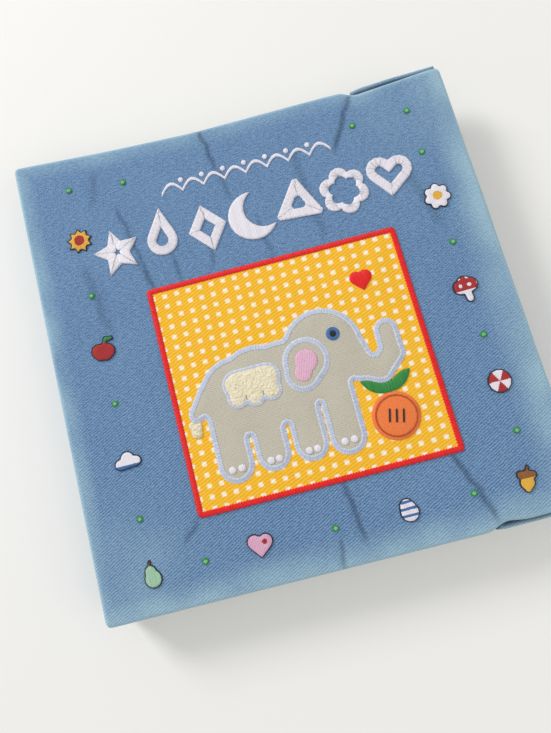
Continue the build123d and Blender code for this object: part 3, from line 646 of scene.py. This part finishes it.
def patch(form, path, top, soft=1.2, cell=1.6, trees=on_cloth, holes=(), radiate=False):
    """Fill an outline with cloth that rises to top over the distance soft from its edge; closed underneath.

    Where radiate is set, the threads run from the edge inwards; otherwise they keep one direction.
    """
    rim_height, sink, edge_pitch = 0.12, 0.3, 0.4
    flat = bmesh.new()
    for line in (path, *holes):
        ring = bmesh.ops.create_circle(flat, segments=len(line), radius=1.0)["verts"]
        for vert, (x, y) in zip(ring, line):
            vert.co = (x, y, 0.0)
    bmesh.ops.triangle_fill(flat, edges=flat.edges[:], use_beauty=False)
    planes = []
    for axis, away in ((0, (1.0, 0.0, 0.0)), (1, (0.0, 1.0, 0.0))):
        low, high = min(point[axis] for point in path), max(point[axis] for point in path)
        for number in range(int((high - low) / cell)):
            planes.append((Vector(away) * (low + cell * (number + 0.5)), away))
    for place, away in planes:
        everything = flat.verts[:] + flat.edges[:] + flat.faces[:]
        bmesh.ops.bisect_plane(flat, geom=everything, dist=0.00001, plane_co=place, plane_no=away)
    bmesh.ops.remove_doubles(flat, verts=flat.verts[:], dist=0.02)
    edges = nearest_of([point for line in (path, *holes) for point in even(line, edge_pitch, 0)])
    outer = nearest_of(even(path, edge_pitch, 0))
    grown = bmesh.ops.extrude_face_region(flat, geom=flat.faces[:])["geom"]
    upper = {part for part in grown if isinstance(part, bmesh.types.BMVert)}
    uv = flat.loops.layers.uv.new("Thread")
    for vert in flat.verts:
        x, y = vert.co.xy
        edge = edges.find(vert.co)[2]
        along = outer.find(vert.co)[1] * edge_pitch
        round_share = max(1.0 - edge / soft, 0.0)
        rise = rim_height + (top - rim_height) * math.sqrt(max(1.0 - round_share * round_share, 0.0))
        for loop in vert.link_loops:
            loop[uv].uv = (along * mm, edge * mm) if radiate else (x * mm, y * mm)
        vert.co = Vector((x, y, ground(x, y, trees) + (rise if vert in upper else -sink))) * mm
    join(form, flat)


def twill(name, dark, light, pitch, angle):
    """Matt twill: fine diagonal lines darker than the ground, drawn at about twice the real pitch."""
    material = new_finish(name, 0.9, 0.1)
    place = add(material, "UVMap")
    broken = add(material, "TexNoise", place, 0.0, 1.0 / (0.8 * mm), 2.0, 0.6)
    cloudy = add(material, "TexNoise", place, 0.0, 1.0 / (24.0 * mm), 2.0, 0.6)
    line = ribs(material, place, pitch, angle, 0.5, 6.0)
    line = add(material, "Math", line, 0.3, -0.1, operation="MULTIPLY_ADD")
    yarn = add(material, "Math", broken, 1.2, line, operation="MULTIPLY_ADD", use_clamp=True)
    cloud = add(material, "Mix", cloudy, named={6: light, 7: dark}, data_type="RGBA", output=2)
    paint(material, yarn, cloud, light, yarn, 0.25)
    return material


grey_twill = twill("grey_twill_cloth", "#aaa492", "#cfc9b8", 1.1, -32.0)
pale_satin = satin("pale_blue_satin_thread", "#a3b0c6", "#f6f8fc", middle="#b9c4df")
elephant_edge = even(outline_loops("elephant_stitching")[0], 0.9, 3)
form = new_form()
patch(form, inset_path(even(elephant_edge, 1.5, 0), 1.3), top=0.85, soft=9.0)
elephant = stand_for(form, "elephant_twill", "elephant_cloth", grey_twill)
on_elephant = on_cloth + (tree_of(elephant),)
form = new_form()
ribbon(form, inset_path(elephant_edge, edge_inset), width=3.0, height=0.42, trees=on_elephant, sink=0.5,
       ragged=0.6)
stand_for(form, "elephant_edge_satin", "elephant_stitching", pale_satin)
ear_edge = even(outline_loops("ear_stitching")[0], 0.9, 3)
form = new_form()
patch(form, inset_path(even(ear_edge, 1.2, 0), 1.3), top=0.55, soft=5.0, trees=on_elephant)
ear = stand_for(form, "ear_twill", "ear_cloth", grey_twill)
on_ear = on_elephant + (tree_of(ear),)
form = new_form()
ribbon(form, inset_path(ear_edge, edge_inset), width=3.0, height=0.38, trees=on_ear, sink=0.5)
stand_for(form, "ear_edge_satin", "ear_stitching", pale_satin)

# Pink of the ear
# Smooth pink satin cut to the inside of the ear. It lies on the grey ear and is sewn down along its edge.
# Satin weave: smooth, with a soft sheen and fine steep lines.
pink_satin = new_finish("pink_satin_cloth", 0.5, 0.1)
place = add(pink_satin, "UVMap")
cloudy = add(pink_satin, "TexNoise", place, 0.0, 1.0 / (1.4 * mm), 2.0, 0.6)
line = ribs(pink_satin, place, 0.9, 78.0)
yarn = add(pink_satin, "Math", line, 0.25, cloudy, operation="MULTIPLY_ADD", use_clamp=True)
paint(pink_satin, yarn, "#d49cbb", "#efc6d8", yarn, 0.2)


def filled(node, pitch, soften, count=None, **shape):
    """A form that fills the outlines of a flat CAD piece, or its first count, softened at their corners."""
    form = new_form()
    for loop in outline_loops(node)[:count]:
        patch(form, even(loop, pitch, soften), **shape)
    return form


form = filled("ear_pink_satin", 0.9, 2, 1, top=0.6, soft=3.0, cell=1.0, trees=on_ear)
stand_for(form, "ear_pink", "ear_pink_satin", pink_satin)

# Blanket and tail tuft
# Deep cream plush with a looped pile. The blanket hangs over the back, edged with the same pale satin
# stitching, and the tuft ends the tail.
# Plush pile: matt loops in small tufts, cream clouded at random, with painted shade between the tufts so
# that their tips look paler.
plush = new_finish("cream_plush_pile", 0.95, 0.35)
place = add(plush, "TexCoord", output="Object")
tufts = add(plush, "TexVoronoi", place, named={"Scale": 900.0}, feature="SMOOTH_F1")
fluff = add(plush, "TexNoise", place, 0.0, 1.0 / (1.1 * mm), 3.0, 0.6)
fluff = add(plush, "Math", fluff, 0.9, 0.35, operation="MULTIPLY_ADD")
pile = add(plush, "Math", tufts, -0.7, fluff, operation="MULTIPLY_ADD", use_clamp=True)
# Painted shade: the pile mix darkens the cream between the tufts.
paint(plush, pile, "#dfd0a4", "#fff8e2", pile, 0.8)


def fluffed(form, depth):
    """Push the upper side of a plush piece up and down a little, as pile stands unevenly."""
    form.normal_update()
    for vert in form.verts:
        if vert.normal.z > 0.2:
            vert.co += vert.normal * depth * mm * noise.noise(vert.co / mm * 0.75)


form = filled("blanket_plush", 1.0, 1, 1, top=1.1, soft=4.0, cell=0.8, trees=on_elephant)
fluffed(form, 0.35)
stand_for(form, "blanket_pile", "blanket_plush", plush)
blanket_edge = even(outline_loops("blanket_stitching")[0], 0.9, 3)
form = new_form()
ribbon(form, inset_path(blanket_edge, edge_inset), width=2.9, height=0.5, trees=on_elephant, sink=0.5)
stand_for(form, "blanket_edge_satin", "blanket_stitching", pale_satin)
form = filled("tail_tuft", 0.8, 1, top=1.6, soft=3.0, cell=0.7)
fluffed(form, 0.5)
stand_for(form, "tail_pile", "tail_tuft", plush)

# Eye and toenails
# Embroidery through the twill: a ring of blue thread round a black pupil, and small domes of white thread
# for the toenails.
blue_thread = satin("blue_embroidery_thread", "#27508f", "#5d8fc9", 0.45, 0.6)
black_thread = satin("black_embroidery_thread", "#16151a", "#3a383d", 0.5, 0.6)
white_satin = satin("white_satin_thread", "#ddd6e4", "#fdfafd", 0.4)
form = filled("eye_ring", 0.6, 1, 1, top=0.55, soft=1.0, cell=0.6, trees=on_elephant)
stand_for(form, "eye_blue", "eye_ring", blue_thread)
form = filled("eye_pupil", 0.5, 1, 1, top=1.0, soft=1.6, cell=0.5, trees=on_elephant)
stand_for(form, "eye_black", "eye_pupil", black_thread)
form = filled("toenails", 0.5, 1, top=0.8, soft=1.6, cell=0.6, trees=on_elephant)
stand_for(form, "toenail_satin", "toenails", white_satin)

# Orange
# A round of orange wool felt laid on the panel and held by rust thread, with dark stitch marks and green
# satin leaves sewn on it.
# Wool felt: quite matt, with short fibres that cloud its colour.
felt = new_finish("orange_wool_felt", 0.95, 0.2)
place = add(felt, "VectorMath", add(felt, "UVMap"), (1.0, 0.6, 1.0), operation="MULTIPLY")
fibre = add(felt, "TexNoise", place, 0.0, 1.0 / (0.8 * mm), 4.0, 0.6)
paint(felt, fibre, "#e06a2c", "#ff9157", fibre, 0.4)
rust_thread = satin("rust_sewing_thread", "#a8421a", "#d9692e", 0.6, 0.7)
green_satin = satin("green_satin_thread", "#1d6a31", "#46a552")
form = filled("orange_felt", 1.2, 1, 1, top=1.3, soft=9.0)
orange = stand_for(form, "orange_round", "orange_felt", felt)
on_orange = on_cloth + (tree_of(orange),)
form = new_form()
path = even(outline_loops("orange_stitching")[0], 0.7, 2)
ribbon(form, path, width=1.0, height=0.35, trees=on_orange, round_cells=8)
stand_for(form, "orange_rust_stitch", "orange_stitching", rust_thread)
form = filled("orange_marks", 0.4, 1, top=0.4, soft=0.5, cell=0.5, trees=on_orange)
stand_for(form, "orange_dark_stitch", "orange_marks", black_thread)
form = filled("orange_leaves", 0.7, 0, top=1.0, soft=2.5, cell=0.8, trees=on_orange)
stand_for(form, "orange_green_leaves", "orange_leaves", green_satin)

# Red heart
# A small heart filled with red satin stitching. It is sewn straight on the panel, with the same thread as
# the border.
form = filled("red_heart", 0.7, 1, 1, top=1.0, soft=3.0, cell=0.8)
stand_for(form, "red_heart_satin", "red_heart", red_satin)

# Row of shapes and scallops
# White satin embroidery straight on the denim: seven large shapes padded high under the threads, and above
# them a fine line of scallops with dots.
for node in ("row_star", "row_drop", "row_diamond", "row_moon", "row_triangle", "row_flower", "row_heart"):
    path, *holes = [even(loop, 0.7, 0) for loop in outline_loops(node)]
    form = new_form()
    patch(form, path, top=1.0, soft=0.8, cell=0.8, trees=on_denim, holes=holes, radiate=bool(holes))
    stand_for(form, node + "_satin", node, white_satin)
form = filled("fine_scallops", 0.6, 0, 1, top=0.6, soft=0.9, cell=0.8, trees=on_denim)
stand_for(form, "scallop_thread", "fine_scallops", white_satin)
form = filled("scallop_dots", 0.5, 1, top=0.7, soft=1.3, cell=0.6, trees=on_denim)
stand_for(form, "scallop_dot_thread", "scallop_dots", white_satin)

# Small motifs
# Ten small pictures embroidered by machine round the rim of the cover: coloured threads raised inside a thin
# dark outline, with dots of green thread between them.
dark_thread = satin("dark_outline_thread", "#161d2c", "#36425a", 0.6, 0.6)
yellow_thread = satin("yellow_embroidery_thread", "#d9951f", "#ffd15c", 0.5, 0.6)
brown_thread = satin("brown_embroidery_thread", "#6f4326", "#b0763f", 0.5, 0.6)
mint_thread = satin("pale_green_embroidery_thread", "#86b894", "#c3e6c8", 0.5, 0.6)
deep_red_thread = satin("deep_red_embroidery_thread", "#8c1f24", "#cf3f3c", 0.5, 0.6)
pink_thread = satin("pink_thread", "#cc8fb2", "#efc3d8")
leaf_thread = satin("light_green_thread", "#54b06a", "#9fe0a6", 0.5, 0.5)
# Each motif's main thread, its second thread, and where that lies, in x and y from the motif's middle.
motif_threads = {
    "motif_sun": (yellow_thread, deep_red_thread, lambda x, y: math.hypot(x, y) < 2.9),
    "motif_apple": (deep_red_thread, green_satin, lambda x, y: y > 3.3 and x > 0.4),
    "motif_cloud": (white_satin, blue_thread, lambda x, y: y < -2.4),
    "motif_pear": (mint_thread, brown_thread, lambda x, y: y > 4.1),
    "motif_heart": (pink_thread, deep_red_thread, lambda x, y: math.hypot(x - 2.4, y - 1.6) < 1.3),
    "motif_egg": (white_satin, blue_thread, lambda x, y: (y + 20.3) % 3.4 < 1.3),
    "motif_acorn": (yellow_thread, brown_thread, lambda x, y: y > 0.4),
    "motif_ball": (white_satin, deep_red_thread,
                   lambda x, y: math.atan2(y, x) % (math.tau / 3.0) < math.pi / 3.0),
    "motif_toadstool": (white_satin, deep_red_thread,
                        lambda x, y: y > -0.6 and math.dist((x % 4.6, y % 4.2), (2, 2)) > 1.0),
    "motif_daisy": (white_satin, yellow_thread, lambda x, y: math.hypot(x, y) < 2.5),
}
for node, (main_thread, second_thread, is_second) in motif_threads.items():
    path = even(outline_loops(node)[0], 0.5, 1)
    middle_x = (min(x for x, _ in path) + max(x for x, _ in path)) / 2.0
    middle_y = (min(y for _, y in path) + max(y for _, y in path)) / 2.0
    form = new_form()
    patch(form, inset_path(path, 0.3), top=0.8, soft=1.8, cell=0.55, trees=on_denim)
    for face in form.faces:
        at = face.calc_center_median() / mm
        face.material_index = 1 if is_second(at.x - middle_x, at.y - middle_y) else 0
    filled_faces = len(form.faces)
    ribbon(form, inset_path(path, 0.35), width=0.75, height=0.75, trees=on_denim, round_cells=6)
    form.faces.ensure_lookup_table()
    for face in form.faces[filled_faces:]:
        face.material_index = 2
    stand_for(form, node + "_threads", node, main_thread, second_thread, dark_thread)
light_radius = 0.9
form = new_form()
for loop in outline_loops("green_dots"):
    patch(form, inset_path(even(loop, 0.45, 2), -0.35), top=0.75, soft=1.6, cell=0.5, trees=on_denim)
    middle = [sum(point[axis] for point in loop) / len(loop) for axis in (0, 1)]
    for face in form.faces:
        if math.dist(face.calc_center_median().xy / mm, middle) < light_radius:
            face.material_index = 1
stand_for(form, "green_dot_threads", "green_dots", green_satin, leaf_thread)

# Cover linings
# Cream cotton over the pad inside each cover, cut a little smaller than the cover. The turned-in denim round
# it holds its edges.
lining_low_x, lining_low_y = -116.6, -113.4
lining_width, lining_height = 192.2, 222.8
lining_cloth = 0.9
# Plain cotton: matt and even, with a faint grain.
page_cotton = new_finish("cream_page_cotton", 0.9, 0.1)
place = add(page_cotton, "TexCoord", output="Object")
fibre = add(page_cotton, "TexNoise", place, 0.0, 1.0 / (0.9 * mm), 2.0, 0.6)
cloudy = add(page_cotton, "TexNoise", place, 0.0, 1.0 / (40.0 * mm), 2.0, 0.6)
weave = add(page_cotton, "Math", fibre, 0.6, 0.2, operation="MULTIPLY_ADD")
cloud = add(page_cotton, "Mix", cloudy, named={6: "#efe6d2", 7: "#f7f1e3"}, data_type="RGBA", output=2)
darker = add(page_cotton, "Math", weave, 0.3, operation="MULTIPLY")
paint(page_cotton, darker, cloud, "#cdbf9f", weave, 0.2)


def on_lining(u, v, inset):
    """A place on the lining inside the cover's turned-in edges."""
    x = lining_low_x + inset + (lining_width - 2.0 * inset) * u
    return x, lining_low_y + inset + (lining_height - 2.0 * inset) * v


def lining_swell(x, y, edge, seed):
    """How far a lining swells towards the leaves between its seams."""
    return 0.35 * step(0.0, 25.0, edge) + 0.1 * noise.noise(Vector((x / 20.0, y / 20.0, seed)))


def lining_levels(x, y, edge):
    """The front lining lies just inside the turn-ins and swells downwards."""
    level = inner_z + turn_in_cloth
    return level + lining_cloth, level - 0.1 - lining_swell(x, y, edge, 9.0)


form = padded_form((64, 74), on_lining, 0.4, 4, lining_levels)
stand_for(form, "front_lining_cotton", "front_cover_lining", page_cotton)

# Cover pads
# White polyester wadding, one soft layer sewn inside the denim of each cover. It ends a few millimetres
# inside the cover's edge and shows nowhere on a whole book.
pad_inset = 4.5
# Loose white fibre: matt and cloudy.
wadding_fibre = new_finish("white_wadding_fibre", 0.95, 0.3)
place = add(wadding_fibre, "TexCoord", output="Object")
fibre = add(wadding_fibre, "TexNoise", place, 0.0, 1.0 / (2.5 * mm), 4.0, 0.6)
paint(wadding_fibre, fibre, "#dcdcd8", "#f6f6f3", fibre, 0.8)


def on_pad(u, v, inset):
    """The pad ends a few millimetres inside the cover's edge."""
    return on_cover(u, v, inset + pad_inset)


def pad_levels(x, y, edge):
    """The pad fills the cover between denim and lining."""
    top, bottom = front_levels(x, y, edge + pad_inset)
    return top - 1.1, max(bottom, inner_z + turn_in_cloth) + 1.2


form = padded_form((50, 50), on_pad, 0.9, 5, pad_levels)
pad = stand_for(form, "front_pad_wadding", "front_cover_wadding", wadding_fibre)

# Leaves
# Five soft padded cotton leaves, one above the other. Each is stitched near its edges, and all are held
# together at the spine.
leaf_count = 5
leaf_thickness = 2.6
leaf_pitch = 2.95
leaf_radius = 1.2
page_low, page_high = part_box("page_block")


def page_levels_for(number):
    """Heights of one leaf: full in the middle, pinched along its seam and where it is bound."""
    low = page_low.z / mm + leaf_pitch * number

    def page_levels(x, y, edge):
        """Upper and lower height of this leaf at a place."""
        seam = math.exp(-((edge - 5.0) / 1.3) ** 2) + math.exp(-((x + 113.0) / 1.6) ** 2)
        thin = 0.42 * (1.0 - step(2.0, 16.0, edge)) + 0.4 * min(seam, 1.0)
        wave = 0.12 * noise.noise(Vector((x / 30.0, y / 30.0, number * 3.0))) * step(0.0, 12.0, edge)
        return low + leaf_thickness - thin / 2.0 + wave, low + thin / 2.0 + wave
    return page_levels


def page_place_for(number):
    """A plan for one leaf; leaves are cut by hand and differ by a few tenths of a millimetre."""
    spread = random.Random(number)
    trims = [spread.uniform(0.0, 0.8) for _ in range(3)]
    left, right = page_low.x / mm + 0.1, page_high.x / mm - trims[0]
    low, high = page_low.y / mm + trims[1], page_high.y / mm - trims[2]

    def on_page(u, v, inset):
        """A place on this leaf."""
        x = left + inset + (right - left - 2.0 * inset) * u
        y = low + inset + (high - low - 2.0 * inset) * v
        return in_corner(x, y, left + inset, right - inset, low + inset, high - inset, max(3.0 - inset, 0.1))
    return on_page


pages = bmesh.new()
for number in range(leaf_count):
    join(pages, padded_form((62, 64), page_place_for(number), leaf_radius, 6, page_levels_for(number)))
leaves = stand_for(pages, "cotton_leaves", "page_block", page_cotton, body="book_block")

# Binding stitches
# Short runs of cream cotton thread beside the spine. They go through all the leaves and hold them together.
cream_thread = satin("cream_sewing_thread", "#cdbf9a", "#f3ead0", 0.6, 0.5)
form = bmesh.new()
form.from_mesh(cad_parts["binding_stitches"].data)
bmesh.ops.remove_doubles(form, verts=form.verts[:], dist=0.00001)
bmesh.ops.bevel(form, geom=form.edges[:], offset=0.12 * mm, segments=2, profile=0.5, affect="EDGES",
                material=-1)
stand_for(form, "binding_thread", "binding_stitches", cream_thread, body="book_block")

# Spine strip
# A narrow strip of the same denim closes the spine from cover to cover. It stands upright and is sewn to
# each cover along a soft fold.
spine_low, spine_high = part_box("spine_cloth")
strip_low_z, strip_high_z = 5.9, 20.1
hinge_x = -0.12515


def strip_place_for(low_z, high_z, short):
    """A plan of an upright strip between two heights, short of the spine cloth's ends by that much."""
    low_y, high_y = spine_low.y / mm + short, spine_high.y / mm - short

    def on_strip(u, v, inset):
        """A place on this strip: x counts up the spine and y along it."""
        x = low_z + inset + (high_z - low_z - 2.0 * inset) * u
        return x, low_y + inset + (high_y - low_y - 2.0 * inset) * v
    return on_strip


def strip_levels(x, y, edge):
    """The strip is about a millimetre thick and bows out by some tenths of one between the covers."""
    bow = 0.25 * noise.noise(Vector((y / 35.0, x / 9.0, 6.0)))
    bow += 0.6 * step(0.0, 6.0, edge) - 0.55
    return bow - 0.1, -1.15


def fold_levels(x, y, edge):
    """A fold is a soft double edge of denim, a little proud of the strip."""
    return 0.1 + 0.08 * noise.noise(Vector((y / 12.0, x, 5.0))), -0.55


def upright_strip(cells, place, radius, levels):
    """A worn strip, made lying down and stood up: x becomes up, and its upper face looks outwards."""
    form = padded_form(cells, place, radius, 5, levels)
    add_wear(form, 0.1, 0.6)
    for vert in form.verts:
        x, y, z = vert.co
        vert.co = Vector((spine_low.x - z, y, x))
    return form


form = upright_strip((14, 150), strip_place_for(strip_low_z, strip_high_z, 0.0), 0.5, strip_levels)
stand_for(form, "spine_denim", "spine_cloth", denim, body="book_block")
for name, cover, low_z, high_z, first, last in (
    ("front_fold_denim", "front_cover", 19.7, 21.0, 20.0, 20.7),
    ("back_fold_denim", "back_cover", 5.0, 6.3, 6.0, 5.3),
):
    form = upright_strip((8, 130), strip_place_for(low_z, high_z, 1.0), 0.3, fold_levels)
    fold_piece = smooth_piece(form, name, denim)
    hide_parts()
    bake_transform(fold_piece, "book_block", cover, (hinge_x, 0.0, first * mm), (hinge_x, 0.0, last * mm))

# Back cover
# Made like the front one from the same denim, pad and lining, but drawn in by 2 mm on three sides and with
# the wide turn-in sewn flat. Its outer face is flat, to lie on.
back_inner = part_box("back_cover_cloth")[1].z / mm
back_drawn_in = 2.0


def on_back(u, v, inset):
    """A place on the back cover."""
    return on_cover(u, v, inset, back_drawn_in)


def back_levels(x, y, edge):
    """The inner face is upwards here; the outer face is flat where the book lies."""
    return back_inner, 0.45 * (1.0 - step(0.0, 14.0, edge))


def back_lining_levels(x, y, edge):
    """The back lining swells a little upwards."""
    level = back_inner - turn_in_cloth
    return level + 0.1 + lining_swell(x, y, edge, 19.0), level - lining_cloth


def on_back_pad(u, v, inset):
    """The back pad ends a few millimetres inside the cover's edge."""
    return on_back(u, v, inset + pad_inset)


def back_pad_levels(x, y, edge):
    """The pad fills the back cover between denim and lining."""
    return back_inner - turn_in_cloth - 1.1, 1.1


form = padded_form((110, 112), on_back, rim_radius, 8, back_levels)
add_wear(form, 24.0)
recess(form, 1.0, back_inner)
back_denim = stand_for(form, "back_cover_denim", "back_cover_cloth", denim, body="back_cover")
form = padded_form((64, 74), on_lining, 0.4, 4, back_lining_levels)
stand_for(form, "back_lining_cotton", "back_cover_lining", page_cotton, body="back_cover")
form = padded_form((50, 50), on_back_pad, 0.9, 5, back_pad_levels)
back_pad = stand_for(form, "back_pad_wadding", "back_cover_wadding", wadding_fibre, body="back_cover")

# Floor, light and camera
# A plain pale floor, two broad soft lamps in a white surround, and the camera at the photo's viewing angle.
bpy.ops.mesh.primitive_plane_add(size=4.0, location=(0.0, 0.0, 0.0))
floor = bpy.context.object
floor.name = "floor"
floor_finish = new_finish("plain_pale_floor", 0.9)
floor_finish.node_tree.nodes["Principled BSDF"].inputs["Base Color"].default_value = linear("#f4f3f0")
floor.data.materials.append(floor_finish)
for name, place, size, power in (
    ("lamp_key", (-1.26, 1.35, 0.99), 0.63, 27.0),
    ("lamp_fill", (0.8, -0.5, 0.9), 1.0, 2.5),
):
    lamp_data = bpy.data.lights.new(name, "AREA")
    lamp_data.size = size
    lamp_data.energy = power
    lamp = bpy.data.objects.new(name, lamp_data)
    bpy.context.scene.collection.objects.link(lamp)
    lamp.location = place
    lamp.rotation_euler = (-Vector(place)).to_track_quat("-Z", "Y").to_euler()
world = bpy.data.worlds.new("studio")
bpy.context.scene.world = world
world.use_nodes = True
surround = world.node_tree.nodes["Background"]
surround.inputs["Color"].default_value = linear("#ffffff")
surround.inputs["Strength"].default_value = 0.6
camera_data = bpy.data.cameras.new("camera")
camera_data.lens = 27.06
camera_data.sensor_width = 36.0
camera = bpy.data.objects.new("camera", camera_data)
bpy.context.scene.collection.objects.link(camera)
camera_place = Vector((0.0003, -0.0598, 0.3107))
back = Vector((0.03140, -0.13826, 0.98990)).normalized()
right = Vector((0.25601, 0.95846, 0.12575)).cross(back).normalized()
turned = Matrix((right, back.cross(right), back)).transposed()
camera.matrix_world = Matrix.Translation(camera_place) @ turned.to_4x4()
bpy.context.scene.camera = camera
bpy.context.scene.view_settings.view_transform = "Standard"
